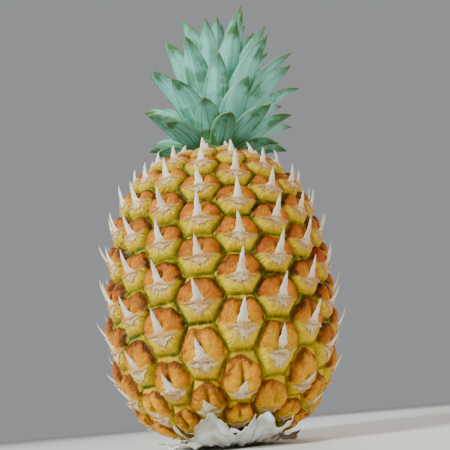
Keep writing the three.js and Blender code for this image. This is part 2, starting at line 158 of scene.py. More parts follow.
# Crown
CROWN_GAP = 1.2
CROWN_STEM_HEIGHT = 74
CROWN_STEM_RADII = [[0, 16], [0.15, 18], [0.45, 16], [0.75, 11], [1, 5]]
CROWN_LEAN = 0.05
CROWN_OFFSET_X = 3
CROWN_LEAVES = 80
LEAF_TURN = -137.508
FIRST_LEAF_ANGLE = 335
LOWEST_LEAF = 0.04
HIGHEST_LEAF = 0.88
LEAF_WIDTH = 16.5
LEAF_THICKNESS = 0.9
LEAF_RIB = 0.7
LEAF_CHANNEL = 0.17
LEAF_WAVE = 0.35
LEAF_RIDGE = 0.07
LEAF_ROOT_DEPTH = 2.5
LEAF_BEND_POWER = 1.4
LEAF_BEND_STEPS = 8
LEAF_LENGTH_SPREAD = 0.16
LEAF_START_SPREAD = 8
LEAF_END_SPREAD = 14
LEAF_SWAY = 0.12
LEAF_LENGTHS = [[0, 28], [0.15, 31], [0.3, 46], [0.5, 52], [0.8, 64], [1, 46]]
LEAF_START_ANGLES = [[0, 31], [0.15, 36], [0.3, 50], [0.5, 58], [0.75, 75], [1, 86]]
LEAF_END_ANGLES = [[0, -28], [0.12, 12], [0.3, 22], [0.5, 43], [0.75, 64], [1, 84]]
LEAF_SIDE_REACH = [[0, 1.05], [0.3, 1.38], [0.6, 1.12], [1, 1]]
LEAF_WIDTHS = [[0, 0.85], [0.2, 1], [0.7, 1], [1, 0.8]]
LEAF_OUTLINE = [
    [0, 0.75], [0.15, 0.9], [0.3, 1], [0.42, 1], [0.55, 0.95],
    [0.68, 0.82], [0.8, 0.62], [0.9, 0.37], [0.96, 0.17], [1, 0.04],
]

# Collar of dead leaves
COLLAR_LEAVES = 11
COLLAR_FIRST_ANGLE = -8
COLLAR_THICKNESS = 0.8
COLLAR_ROOT_RADIUS = 16.6
COLLAR_LEAF_WIDTH = 27
COLLAR_REACH = 9
COLLAR_FRONT_REACH = 25
COLLAR_LOW_Z = 2
COLLAR_TURN = 29
COLLAR_CURL = 9
COLLAR_CLEARANCE = 3.2
COLLAR_ANGLE_SPREAD = 14
COLLAR_WIDTH_SPREAD = 6
COLLAR_REACH_SPREAD = 4
COLLAR_TEAR = 4
COLLAR_TEAR_POINTS = 5
COLLAR_TEAR_SHARE = 0.6
COLLAR_CUTS = 2
COLLAR_FLOOR_GAP = 0.7


def draws(items, use):
    """Repeatable draws between -0.5 and 0.5, one for each item"""
    value = np.sin(np.asarray(items, float) * 12.9898 + use * 78.233) * 43758.5453
    return value - np.floor(value) - 0.5


def smooth(value):
    x = np.clip(value, 0, 1)
    return x * x * (3 - 2 * x)


def mix(a, b, share):
    return a + (b - a) * share


def bell(*distances):
    """1 where every distance is 0, fading to nothing beyond about 2"""
    return np.exp(-sum(distance**2 for distance in distances))


def along(line, x):
    points = np.array(line, float)
    return np.interp(x, points[:, 0], points[:, 1])


def packed(shape, *values):
    """Three numbers for each vertex of a grid"""
    return np.stack([np.broadcast_to(value, shape) for value in values], -1)


def fruit_outline():
    """Radius, height and arc length of the smooth outline, from the base up.

    The arc length is zero on the widest ring.
    """
    angle = np.linspace(0, math.pi, OUTLINE_STEPS + 1)
    across, down = np.sin(angle), np.cos(angle)
    power = 2 / np.where(down > 0, SQUARENESS_BELOW, SQUARENESS_ABOVE)
    half = np.where(down > 0, BELOW_WIDEST, ABOVE_WIDEST)
    z = WIDEST_Z - half * np.sign(down) * np.abs(down) ** power
    r = FRUIT_RADIUS * np.abs(across) ** power
    arc = np.concatenate([[0], np.cumsum(np.hypot(np.diff(r), np.diff(z)))])
    return r, z, arc - arc[OUTLINE_STEPS // 2]


OUTLINE_R, OUTLINE_Z, OUTLINE_ARC = fruit_outline()
BASE_ARC, TOP_ARC = OUTLINE_ARC[0], OUTLINE_ARC[-1]
NORMAL_R = np.gradient(OUTLINE_Z, OUTLINE_ARC)
NORMAL_Z = -np.gradient(OUTLINE_R, OUTLINE_ARC)


def outline_at(arc):
    """Radius, height and the two parts of the outward normal at arc lengths"""
    lines = (OUTLINE_R, OUTLINE_Z, NORMAL_R, NORMAL_Z)
    return tuple(np.interp(arc, OUTLINE_ARC, line) for line in lines)


def outline_base_z(r):
    power = SQUARENESS_BELOW
    return WIDEST_Z - BELOW_WIDEST * (1 - (r / FRUIT_RADIUS) ** power) ** (1 / power)


def collar_roof(r):
    """Height at a radius that keeps the collar's clearance, square to the base of the fruit"""
    slope = outline_base_z(r + 0.5) - outline_base_z(r - 0.5)
    return outline_base_z(r) - COLLAR_CLEARANCE * np.hypot(1, slope)


def eye_scale(r):
    return np.sqrt(2 * math.pi * r * EYE_CLIMB) / EYE_SIZE


def lattice_place(a, b):
    """Angle in degrees and arc length of lattice positions"""
    eye = STEP_A * a + STEP_B * b
    angle = FIRST_EYE_ANGLE - TURN_A * a - TURN_B * b
    flat = FIRST_EYE_ARC + EYE_CLIMB * eye + EYE_CLIMB_CHANGE * eye * eye
    from_base = np.maximum(flat - BASE_ARC - ROW_TILT_END, 0)
    from_top = np.maximum(TOP_ARC - flat - ROW_TILT_END, 0)
    strength = (1 - np.exp(-from_base / ROW_TILT_FADE)) * (1 - np.exp(-from_top / ROW_TILT_FADE))
    side = np.maximum(np.cos(np.radians(angle - DROOP_ANGLE)), 0) ** 2
    low = smooth((DROOP_START - flat) / DROOP_RISE) * smooth((flat - DROOP_END) / DROOP_FALL)
    return angle, flat - ROW_TILT * strength * np.cos(np.radians(angle)) - DROOP * low * side


def skin_points(angle, arc, height):
    """Points at angles and arc lengths, raised from the smooth outline"""
    r, z, normal_r, normal_z = outline_at(arc)
    raised = height * eye_scale(np.maximum(r, 1))
    turned = np.radians(angle)
    out = r + normal_r * raised
    return np.stack([out * np.cos(turned), out * np.sin(turned), z + normal_z * raised], -1)


def eye_pairs():
    """Lattice steps a, b of every eye, each eye once"""
    pairs = []
    for b in range(STEP_A):
        first = math.ceil((LOWEST_EYE - STEP_B * b) / STEP_A)
        last = math.floor((HIGHEST_EYE - STEP_B * b) / STEP_A)
        pairs += [(a, b) for a in range(first, last + 1)]
    return np.array(pairs, float)


EYES = eye_pairs()
EYE_NUMBERS = STEP_A * EYES[:, 0] + STEP_B * EYES[:, 1]
EYE_ANGLE, EYE_ARC = lattice_place(EYES[:, 0], EYES[:, 1])


def eye_corners():
    """Angle and arc length of the six groove corners of every eye, anticlockwise from its right"""
    ring = [(-1, 0), (0, 1), (1, 1), (1, 0), (0, -1), (-1, -1)]
    places = {step: lattice_place(EYES[:, 0] + step[0], EYES[:, 1] + step[1]) for step in ring}
    corners = []
    for k in range(6):
        trio = [(EYE_ANGLE, EYE_ARC), places[ring[k]], places[ring[(k + 1) % 6]]]
        corners.append([sum(place[i] for place in trio) / 3 for i in range(2)])
    return np.array(corners).transpose(2, 0, 1)


CORNERS = eye_corners()
# Half width in degrees of every eye, and its reach in millimetres above and below its middle
HALF_ANGLE = (CORNERS[:, 0, 0] - CORNERS[:, 3, 0]) / 2
REACH_UP = (CORNERS[:, 1, 1] + CORNERS[:, 2, 1]) / 2 - EYE_ARC
REACH_DOWN = EYE_ARC - (CORNERS[:, 4, 1] + CORNERS[:, 5, 1]) / 2


def fringe_line(x, eye):
    """Height across an eye of the papery line that parts its lobes from its shield"""
    wide = 0.03 * np.sin(4 * x + 6 * draws(eye, 31))
    return FRINGE_Y + wide + 0.02 * np.sin(11 * x + 9 * draws(eye, 32))


def eye_relief(x, y, rho, eye):
    """Relief of an eye at x, y, which go from -1 to 1 across and up it.

    rho is the share of the way from its middle to its groove. Gives the height above the
    outline, and how much a place belongs to the lobes, the groove, the crease and the dome.
    """
    over = y - fringe_line(x, eye)
    upper = smooth(over / 0.12 + 0.3)
    crease_x = 0.14 * draws(eye, 33)
    notch = 0.5 + draws(eye, 34)
    turn = np.arctan2(over, x)
    wobble = 0.045 * np.sin(5 * turn + 9 * draws(eye, 38))
    wobble = wobble + 0.025 * np.sin(9 * turn + 7 * draws(eye, 40))
    dome = 1 - (np.abs(x) / (DOME_HALF_WIDTH + wobble)) ** DOME_POWER
    dome = dome - (np.maximum(over - 0.05, 0) / (DOME_TOP + wobble)) ** DOME_POWER
    round_dome = np.clip(dome, 0, 1) ** 0.5
    lobes = bell((np.abs(x - crease_x) - LOBE_OUT) / 0.26, (over - LOBE_UP) / 0.36)
    crease = bell((x - crease_x) / 0.09) * smooth((over - 0.12) / 0.25)
    crease = crease * smooth((1.25 - over) / 0.5)
    pit = bell((x - crease_x) / 0.13, (over - PIT_UP) / 0.14) * smooth(draws(eye, 39) * 4)
    lobe_height = DOME_FOOT_HEIGHT + DOME_HEIGHT * round_dome + LOBE_SWELL * lobes
    lobe_height = lobe_height - (CREASE_DEPTH + NOTCH_DEPTH * notch) * crease - PIT_DEPTH * pit
    undercut = UNDERCUT_DEPTH * bell((over - 0.08) / 0.05) * smooth((0.9 - np.abs(x)) / 0.3)
    lobe_height = lobe_height - undercut
    down = np.clip(-over, 0, 1.2)
    fan = np.arctan2(x, down + 0.25)
    ridges = RIDGE_HEIGHT * np.cos(SHIELD_RIDGES * fan + 8 * draws(eye, 35)) * smooth(down / 0.25)
    boss = BOSS_HEIGHT * bell(x / 0.3, down / 0.2)
    shield_height = SHIELD_HEIGHT - SHIELD_SLOPE * down - SHIELD_FALL * down**2
    shield_height = shield_height - SHIELD_ROUND * x**2 + ridges + boss
    inside = mix(shield_height, lobe_height, upper)
    inside = inside + EYE_LEAN_SPREAD * draws(eye, 36) * x + EYE_HEIGHT_SPREAD * draws(eye, 37)
    groove_start = mix(SHIELD_EDGE, LOBE_EDGE, upper)
    edge = smooth((rho - groove_start) / (1 - groove_start))
    height = mix(inside, GROOVE_HEIGHT, edge)
    return height, upper, edge, np.clip(crease * notch + pit, 0, 1), np.clip(dome, -1, 1)


def new_piece(name, points, faces, material, attributes):
    """A mesh object riding on the root body.

    points are millimetres; attributes are a name with three numbers for each vertex.
    """
    mesh = bpy.data.meshes.new(name)
    mesh.from_pydata(np.asarray(points, float) * MM, [], [list(map(int, f)) for f in faces])
    for label, values in attributes:
        store = mesh.attributes.new(label, "FLOAT_VECTOR", "POINT")
        store.data.foreach_set("vector", np.asarray(values, np.float32).reshape(-1))
    mesh.polygons.foreach_set("use_smooth", [True] * len(mesh.polygons))
    mesh.update()
    mesh.materials.append(material)
    piece = bpy.data.objects.new(name, mesh)
    bpy.context.scene.collection.objects.link(piece)
    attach(piece, "root")
    return piece


def close_fruit_ends(mesh):
    """Joins the eyes along their grooves and closes both ends with fans to the axis"""
    weld_distance = 2e-5
    work = bmesh.new()
    work.from_mesh(mesh)
    bmesh.ops.remove_doubles(work, verts=work.verts, dist=weld_distance)
    form = work.verts.layers.float_vector["form"]
    ends = {}
    for is_top, z in ((False, BASE_HOLLOW_Z), (True, WIDEST_Z + ABOVE_WIDEST)):
        ends[is_top] = work.verts.new((0, 0, z * MM))
        ends[is_top][form] = (0, 1, 0)
    for edge in [e for e in work.edges if e.is_boundary]:
        face = edge.link_faces[0]
        loop = next(l for l in face.loops if l.edge == edge)
        first, second = loop.vert, loop.link_loop_next.vert
        made = work.faces.new((second, first, ends[first.co.z > WIDEST_Z * MM]))
        made.smooth = True
    work.to_mesh(mesh)
    work.free()


def fruit_skin(material):
    """Every eye as a fine polar grid: swollen lobes, a fleshy shield below and a groove round it"""
    rings = len(EYE_RINGS)
    sides = 6 * POINTS_PER_SIDE
    eyes = len(EYES)
    share = (np.arange(sides) % POINTS_PER_SIDE) / POINTS_PER_SIDE
    k = np.arange(sides) // POINTS_PER_SIDE
    rim = mix(CORNERS[:, k], CORNERS[:, (k + 1) % 6], share[None, :, None])
    middle = np.stack([EYE_ANGLE, EYE_ARC], -1)
    rho = np.array(EYE_RINGS)
    spokes = (rim - middle[:, None])[:, None]
    place = middle[:, None, None] + spokes * rho[None, :, None, None]
    place = np.concatenate([middle[:, None], place.reshape(eyes, -1, 2)], 1)
    rho_all = np.broadcast_to(np.concatenate([[0], np.repeat(rho, sides)]), place.shape[:2])
    number = np.broadcast_to(EYE_NUMBERS[:, None], place.shape[:2])
    x = (place[..., 0] - EYE_ANGLE[:, None]) / HALF_ANGLE[:, None]
    y = place[..., 1] - EYE_ARC[:, None]
    y = y / np.where(y > 0, REACH_UP[:, None], REACH_DOWN[:, None])
    height, upper, edge, crease, dome = eye_relief(x, y, rho_all, number)
    points = skin_points(place[..., 0], place[..., 1], height)
    level = smooth((place[..., 1] - BASE_ARC) / (TOP_ARC - BASE_ARC))

    faces = []
    for j in range(sides):
        n = (j + 1) % sides
        faces.append((0, 1 + j, 1 + n))
        for ring in range(rings - 1):
            low, high = 1 + ring * sides, 1 + (ring + 1) * sides
            faces.append((low + j, high + j, high + n, low + n))
    size = 1 + rings * sides
    all_faces = [tuple(v + e * size for v in face) for e in range(eyes) for face in faces]
    attributes = [
        ("form", np.stack([upper, edge, crease], -1)),
        ("own", np.stack([draws(number, 41) + 0.5, level, dome], -1)),
        ("spot", np.stack([x, y, number * 1.37], -1)),
    ]
    piece = new_piece("fruit_skin", points.reshape(-1, 3), all_faces, material, attributes)
    close_fruit_ends(piece.data)
    return piece


def sheet_faces(rows, columns):
    """Faces of a closed thin blade whose vertices are the upper grid followed by the lower grid"""
    faces = []
    lower = rows * columns
    for row in range(rows - 1):
        for column in range(columns - 1):
            a = row * columns + column
            b, c, d = a + 1, a + columns + 1, a + columns
            faces += [(a, b, c, d), (lower + a, lower + d, lower + c, lower + b)]
        left, right = row * columns, row * columns + columns - 1
        faces.append((left, left + columns, lower + left + columns, lower + left))
        faces.append((lower + right, lower + right + columns, right + columns, right))
    for column in range(columns - 1):
        last = (rows - 1) * columns + column
        faces.append((lower + column, lower + column + 1, column + 1, column))
        faces.append((last, last + 1, lower + last + 1, lower + last))
    return faces


def blades(name, upper, lower, material, attributes):
    """One piece from many thin closed blades.

    upper and lower are arrays of item, row, column and coordinate.
    """
    items, rows, columns, _ = upper.shape
    size = rows * columns
    layers = [grid.reshape(items, size, 3) for grid in (upper, lower)]
    points = np.concatenate(layers, 1).reshape(-1, 3)
    pattern = np.array(sheet_faces(rows, columns))
    faces = (pattern[None] + 2 * size * np.arange(items)[:, None, None]).reshape(-1, 4)
    both = [(label, np.concatenate([v.reshape(items, size, 3)] * 2, 1)) for label, v in attributes]
    return new_piece(name, points, faces, material, both)


def bract_axes(angle, arc, scale):
    """Foot of each bract and its directions out, sideways and up"""
    arc = arc - BRACT_DROP * scale
    foot = skin_points(angle, arc, CENTRE_HEIGHT)
    _, _, normal_r, normal_z = outline_at(arc)
    turned = np.radians(angle)
    out = np.stack([normal_r * np.cos(turned), normal_r * np.sin(turned), normal_z], -1)
    side = np.stack([-np.sin(turned), np.cos(turned), 0 * turned], -1)
    return [axis[:, None, None] for axis in (foot, out, side, np.cross(out, side))]


def bracts(material):
    """The papery bract of every eye but the lowest and the highest.

    It is broad and winged at its foot, drawn out to a spike, keeled and ragged.
    """
    rows, columns = 15, 7
    kept = (EYE_ARC >= BASE_ARC + BARE_BASE) & (EYE_ARC <= TOP_ARC - BARE_TOP)
    angle, arc, number = EYE_ANGLE[kept], EYE_ARC[kept], EYE_NUMBERS[kept][:, None, None]
    scale = eye_scale(np.interp(arc, OUTLINE_ARC, OUTLINE_R))
    foot, out, side, up = bract_axes(angle, arc, scale)
    scale = scale[:, None, None]
    low = smooth((LOW_BRACTS_ARC - arc) / LOW_BRACTS_FADE)[:, None, None]
    t = np.linspace(BRACT_ROOT, BRACT_END, rows)[None, :, None]
    s = np.linspace(1, -1, columns)[None, None, :]
    risen = np.maximum(t, 0)
    high = smooth((arc - TOP_ARC + SHORT_TOP) / (SHORT_TOP - BARE_TOP))[:, None, None]
    shorter = (1 - LOW_BRACTS_SHORTER * low) * mix(1, SHORT_TOP_SHARE, high)
    length = BRACT_LENGTH * scale * (1 + BRACT_LENGTH_SPREAD * draws(number, 1)) * shorter
    lift = (1 + BRACT_LIFT_SPREAD * draws(number, 2)) * (1 - LOW_BRACTS_FLATTER * low)
    sway = BRACT_SWAY * draws(number, 3)
    ragged = 1 + 0.12 * np.sin(19 * risen + 9 * draws(number, 4) + 2 * np.sign(s))
    ragged = ragged + 0.08 * np.sin(43 * risen + 5 * s + number)
    taper = 0.82 * (1 - risen) ** 0.95 + 0.55 * bell(risen / 0.12) + 0.03
    half = BRACT_WIDTH / 2 * (1 + LOW_BRACTS_BROADER * low) * taper * ragged
    fold = BRACT_KEEL * np.abs(s) ** 1.4 * (1 - risen) * 0.9
    fibres = 0.14 * np.sin(9 * s + 5 * draws(number, 5)) * (1 - risen)
    sideways = s * half + sway * risen**1.6
    outwards = BRACT_TIP_LIFT * lift * (1 - (1 - risen) ** BRACT_TIP_POWER)
    outwards = outwards - BRACT_ROOT_DEPTH * np.maximum(-t, 0)
    outwards = outwards - fold + fibres + BRACT_FOOT_LIFT * (1 - risen) ** 2

    def placed(height):
        way = up * (length * t)[..., None] + out * ((outwards + height) * scale)[..., None]
        return foot + way + side * (sideways * scale)[..., None]

    thickness = BRACT_THICKNESS * (1.1 - risen)
    shape = (len(arc), rows, columns)
    attributes = [
        ("paper", packed(shape, risen, s * 0.5 + 0.5, draws(number, 6) + 0.5)),
        ("spot", packed(shape, s, t * 2, number * 1.7)),
    ]
    return blades("bracts", placed(thickness), placed(-thickness), material, attributes)


def fringes(material):
    """The papery line across the middle of every eye, frayed upwards.

    A fibrous skirt hangs from it over the shield.
    """
    rows, columns = 7, 29
    number = EYE_NUMBERS[:, None, None]
    scale = eye_scale(np.interp(EYE_ARC, OUTLINE_ARC, OUTLINE_R))[:, None, None]
    x = np.linspace(FRINGE_HALF_WIDTH, -FRINGE_HALF_WIDTH, columns)[None, None, :]
    v = np.linspace(-1, 1, rows)[None, :, None]
    frayed = np.sin(31 * x + 20 * draws(number, 7)) * np.sin(17 * x + 9 * draws(number, 8))
    frayed = 0.75 + 0.35 * frayed
    fibres = 0.85 + 0.16 * np.sin(23 * x + 20 * draws(number, 9))
    fibres = fibres + 0.14 * np.sin(51 * x + 13 * draws(number, 10))
    rise = (0.03 + FRINGE_RISE * bell(x / 0.3)) * frayed
    low = smooth((LOW_BRACTS_ARC - EYE_ARC) / LOW_BRACTS_FADE)[:, None, None]
    from_point = np.abs(x - 0.2 * draws(number, 19)) / (0.5 + 0.25 * low)
    point = np.maximum(1 - from_point, 0) ** 1.2
    skirt = SKIRT_LENGTH + SKIRT_LENGTH_SPREAD * draws(number, 17) + SKIRT_LONGER_LOW * low
    hang = (0.04 + skirt * point) * fibres
    line = fringe_line(x, number)
    y = line - 0.05 + np.where(v > 0, rise * v, hang * v)
    x = x * (1 + 0.25 * np.minimum(v, 0) * (1 - np.abs(x))) + 0 * y
    rho = np.maximum(np.abs(y), np.abs(x) + np.abs(y) / 2)
    surface = eye_relief(x, np.minimum(y, line - 0.04), rho, number + 0 * x)[0]
    curled = 0.8 * np.maximum(v, 0) * (0.4 + frayed) * np.exp(-((x / 0.75) ** 4))
    curled = curled - 0.3 * bell(v / 0.3)
    lifted = surface + curled + 0.3 * np.maximum(-v, 0) * (0.5 + 0.5 * fibres)
    angle = EYE_ANGLE[:, None, None] + x * HALF_ANGLE[:, None, None]
    reach = np.where(y > 0, REACH_UP[:, None, None], REACH_DOWN[:, None, None])
    arc = EYE_ARC[:, None, None] + y * reach
    upper = skin_points(angle, arc, lifted + FRINGE_THICKNESS / scale)
    lower = skin_points(angle, arc, lifted - FRINGE_THICKNESS / scale)
    attributes = [
        ("paper", packed(y.shape, 0.04 + 0.3 * low, 0.5, draws(number, 6) + 0.5)),
        ("spot", packed(y.shape, x * 3, v * 0.6, number * 2.3)),
    ]
    return blades("eye_fringes", upper, lower, material, attributes)


def crown_axis(share):
    """Centre of the crown's stem at shares of its height"""
    z = WIDEST_Z + ABOVE_WIDEST + CROWN_GAP + CROWN_STEM_HEIGHT * share
    return np.stack([CROWN_OFFSET_X + CROWN_LEAN * CROWN_STEM_HEIGHT * share, 0 * share, z], -1)


def crown_leaves(material):
    """The leaves of the crown, channelled above, ribbed below, thin at their margins and pointed"""
    rows, columns = 29, 11
    k = np.arange(CROWN_LEAVES)
    share = k / (CROWN_LEAVES - 1)
    angle = np.radians(FIRST_LEAF_ANGLE + LEAF_TURN * k)
    outwards = np.stack([np.cos(angle), np.sin(angle), 0 * angle], -1)
    side = np.stack([-np.sin(angle), np.cos(angle), 0 * angle], -1)
    side_reach = mix(1, along(LEAF_SIDE_REACH, share), np.maximum(np.cos(angle), 0))
    length = along(LEAF_LENGTHS, share) * (1 + LEAF_LENGTH_SPREAD * draws(k, 11)) * side_reach
    start = along(LEAF_START_ANGLES, share) + LEAF_START_SPREAD * draws(k, 12)
    end = along(LEAF_END_ANGLES, share) + LEAF_END_SPREAD * draws(k, 13)
    width = LEAF_WIDTH * along(LEAF_WIDTHS, share)
    sway = LEAF_SWAY * draws(k, 14)
    stem_share = mix(LOWEST_LEAF, HIGHEST_LEAF, share)
    root = (along(CROWN_STEM_RADII, stem_share) - LEAF_ROOT_DEPTH)[:, None]
    centre = crown_axis(stem_share) + outwards * root

    t = np.linspace(0, 1, rows)
    steps = (rows - 1) * LEAF_BEND_STEPS
    step = 1 / steps
    centres = [centre.copy()]
    for i in range(steps):
        here = (i + 0.5) * step
        rise = np.radians(mix(start, end, here**LEAF_BEND_POWER))
        move = outwards * (np.cos(rise) * length * step)[:, None]
        move = move + side * (sway * here * length * step)[:, None]
        move[:, 2] += np.sin(rise) * length * step
        move[:, 0] += CROWN_LEAN * np.sin(rise) * length * step
        centre = centre + move
        if (i + 1) % LEAF_BEND_STEPS == 0:
            centres.append(centre.copy())
    centres = np.stack(centres, 1)

    rise = np.radians(mix(start[:, None], end[:, None], t[None] ** LEAF_BEND_POWER))
    above = -outwards[:, None] * np.sin(rise)[..., None]
    above[..., 2] += np.cos(rise)
    s = np.linspace(1, -1, columns)
    half = (width[:, None] / 2 * along(LEAF_OUTLINE, t)[None])[..., None]
    cup = LEAF_CHANNEL * 2 * half * np.abs(s) ** 1.25
    wave = np.sin(9 * t[None, :, None] + 7 * s + 8 * draws(k, 15)[:, None, None])
    wave = LEAF_WAVE * wave * np.abs(s) * (half / 8)
    ridge = LEAF_RIDGE * np.cos(20 * s) * (half / 8)
    margin = LEAF_THICKNESS / 2 * (1 - 0.62 * np.abs(s) ** 3)
    rib = LEAF_RIB * (1 - t[None, :, None]) * bell(s / 0.3)

    def placed(height):
        across = side[:, None, None] * (s * half)[..., None]
        return centres[:, :, None] + across + above[:, :, None] * height[..., None]

    upper = placed(cup + wave + ridge + margin)
    lower = placed(cup + wave - ridge - margin - rib)
    shape = upper.shape[:3]
    streaks = (s * width[:, None, None] / 16, t[None, :, None] * length[:, None, None] / 60)
    attributes = [
        ("blade", packed(shape, t[None, :, None], s * 0.5 + 0.5, share[:, None, None])),
        ("spot", packed(shape, *streaks, k[:, None, None] * 1.9)),
    ]
    return blades("crown_leaves", upper, lower, material, attributes)


def crown_stem(material):
    """The short stem that the leaves are set on"""
    sides, rows = 36, 16
    share = np.linspace(0, 1, rows)
    centre = crown_axis(share)
    radius = along(CROWN_STEM_RADII, share)
    angle = np.linspace(0, 2 * math.pi, sides, endpoint=False)
    wobble = 1 + 0.04 * np.sin(7 * angle)[None] * np.cos(9 * share)[:, None]
    x = centre[:, 0, None] + radius[:, None] * np.cos(angle) * wobble
    y = centre[:, 1, None] + radius[:, None] * np.sin(angle) * wobble
    points = packed(x.shape, x, y, centre[:, 2, None]).reshape(-1, 3)
    points = np.concatenate([points, centre[[0, -1]]])
    base, tip = rows * sides, rows * sides + 1
    faces = []
    for j in range(sides):
        n = (j + 1) % sides
        faces += [(base, n, j), (tip, base - sides + j, base - sides + n)]
        for low in range(0, (rows - 1) * sides, sides):
            faces.append((low + j, low + n, low + sides + n, low + sides + j))
    attributes = [("blade", np.full((len(points), 3), 0.02)), ("spot", points * 0.1)]
    return new_piece("crown_stem", points, faces, material, attributes)


def collar_leaves(material):
    """The dead leaves under the fruit, crumpled, and torn at their ends"""
    rows, columns = 22, 41
    k = np.arange(COLLAR_LEAVES)[:, None, None]
    turn = COLLAR_FIRST_ANGLE + 360 / COLLAR_LEAVES * k + COLLAR_ANGLE_SPREAD * draws(k, 21)
    angle = np.radians(turn)
    front = np.maximum(-np.sin(angle), 0) ** 2
    reach = COLLAR_REACH + COLLAR_FRONT_REACH * front + COLLAR_REACH_SPREAD * draws(k, 22)
    width = COLLAR_LEAF_WIDTH + COLLAR_WIDTH_SPREAD * draws(k, 23)
    t = np.linspace(0, 1, rows)[None, :, None]
    s = np.linspace(-0.5, 0.5, columns)[None, None, :]
    points = range(COLLAR_TEAR_POINTS)
    tear = np.stack([COLLAR_TEAR * draws(k[:, 0, 0] * 7 + point, 24) for point in points], -1)
    at = np.linspace(0, 1, COLLAR_TEAR_POINTS)
    torn = np.stack([np.interp(s[0, 0] + 0.5, at, row) for row in tear])[:, None]
    torn = torn + 0.9 * np.sin(23 * s + 30 * draws(k, 26))
    torn = torn + 0.6 * np.sin(53 * s + 11 * draws(k, 27)) - 1.2
    torn = COLLAR_TEAR_SHARE * torn
    for cut in range(COLLAR_CUTS):
        middle = 0.8 * draws(k, 51 + cut)
        depth = 0.1 + 0.16 * draws(k, 61 + cut)
        torn = torn - reach * depth * np.exp(-(np.abs((s - middle) / 0.07) ** 1.5))
    r = COLLAR_ROOT_RADIUS + (reach + torn * smooth((t - 0.35) * 1.6)) * t
    spread = angle - (s * width * (1 - 0.1 * t)) / (r + 6)
    wave = 0.5 + 0.5 * np.sin(9 * s + 5 * t + 6 * draws(k, 25))
    curl = smooth((r - COLLAR_TURN) / COLLAR_CURL) * (0.75 + 0.25 * wave)
    z = mix(COLLAR_LOW_Z + wave * t, collar_roof(r), curl)
    folds = np.sin(15 * s + 7 * t + 7 * draws(k, 28)) * np.sin(8 * t + 5 * s)
    folds = folds + 0.5 * np.sin(34 * s - 9 * t + 9 * draws(k, 30))
    crumple = folds * smooth(t * 3)
    turned_out = smooth((t - 0.55) / 0.45) * (1 + 0.8 * np.sin(7 * s + 9 * draws(k, 18)))
    r = r + (1.3 * crumple + 2.4 * turned_out) * curl
    z = z + 0.8 * crumple * (1 - curl) - 2.2 * turned_out * curl
    z = np.maximum(z, COLLAR_FLOOR_GAP)
    shape = (COLLAR_LEAVES, rows, columns)

    def placed(height):
        return packed(shape, r * np.cos(spread), r * np.sin(spread), z + height)

    thickness = COLLAR_THICKNESS / 2 * (1 - 0.6 * t)
    attributes = [
        ("paper", packed(shape, t, s + 0.5, draws(k, 29) + 0.5)),
        ("spot", packed(shape, s * 4, t, k * 1.3 + 50)),
    ]
    return blades("collar_leaves", placed(thickness), placed(-thickness), material, attributes)


# Lobes of the rind, rim, ring and core: low on the fruit, in the middle and under the crown. Each
# dark rim is painted shade where the lobe falls into its groove
LOBE_BANDS_WITH_RIM_SHADE = (
    ((0.18, 0.04, 0.0002), (0.84, 0.34, 0.0001), (0.95, 0.56, 0.002)),
    ((0.06, 0.015, 0.0001), (0.44, 0.115, 0.0001), (0.78, 0.29, 0.001)),
    # Under the crown: partly the rind's own brown, partly painted shade from the crown
    ((0.04, 0.018, 0.0002), (0.22, 0.08, 0.0005), (0.50, 0.23, 0.006)),
)
LOBE_RED = (0.42, 0.03, 0.01)
LOBE_DULL = (0.20, 0.06, 0.002)
LOBE_RAYS = (0.30, 0.07, 0.002)
LOBE_MOTTLE = (0.28, 0.055, 0.001)
LOBE_SPECKS = (0.26, 0.06, 0.002)
# Painted shade for the crease and pit of the lobes
CREASE_PAINTED_SHADE = (0.12, 0.03, 0.004)
SHIELD_YELLOWS = (0.86, 0.50, 0.0001), (0.88, 0.62, 0.0005)
SHIELD_GREENS = (0.20, 0.17, 0.001), (0.56, 0.46, 0.003)
SHIELD_PALE_RAYS = (0.92, 0.72, 0.03)
SHIELD_TAN_RAYS = (0.40, 0.19, 0.02)
SHIELD_PAPER = (0.42, 0.20, 0.09), (0.90, 0.66, 0.44)
SHOULDER_GREENS = (0.13, 0.12, 0.002), (0.56, 0.42, 0.005)
SHOULDER_GOLD = (0.84, 0.46, 0.001)
GROOVE_OLIVES = (0.07, 0.062, 0.001), (0.25, 0.22, 0.004)
GROOVE_YELLOW = (0.50, 0.38, 0.005)
GROOVE_GOLD = (0.70, 0.42, 0.002)
GROOVE_OLIVE_AND_CROWN_SHADE = (0.10, 0.095, 0.003)
# Blue-green of the grooves, painted as cool key light on the -X side
GROOVE_TEAL_COOL_LIGHT = (0.015, 0.17, 0.05)
# Painted shade in the groove along the lobes
GROOVE_PAINTED_SHADE = (0.035, 0.028, 0.002)

# Pale, warm, dark and grey patches of dry paper
BRACT_PAPER = (0.93, 0.85, 0.70), (0.78, 0.56, 0.38), (0.46, 0.30, 0.17), (0.92, 0.92, 0.86)
FRINGE_PAPER = (0.84, 0.66, 0.42), (0.60, 0.33, 0.13), (0.26, 0.12, 0.03), (0.80, 0.58, 0.30)
COLLAR_PAPER = (0.86, 0.93, 0.93), (0.62, 0.56, 0.42), (0.24, 0.17, 0.09), (0.46, 0.56, 0.60)

LEAF_BLOOM = (0.13, 0.60, 0.50), (0.38, 0.92, 0.86)
LEAF_GREENS = (0.015, 0.10, 0.02), (0.07, 0.26, 0.07)
LEAF_MARGIN = (0.30, 0.42, 0.16)
LEAF_DRY_TIP = (0.20, 0.10, 0.03)
STALK_FIBRES = (0.30, 0.20, 0.09), (0.52, 0.42, 0.24)
STALK_DARK = (0.12, 0.08, 0.04)
FLOOR_COLOUR = (0.78, 0.78, 0.77)


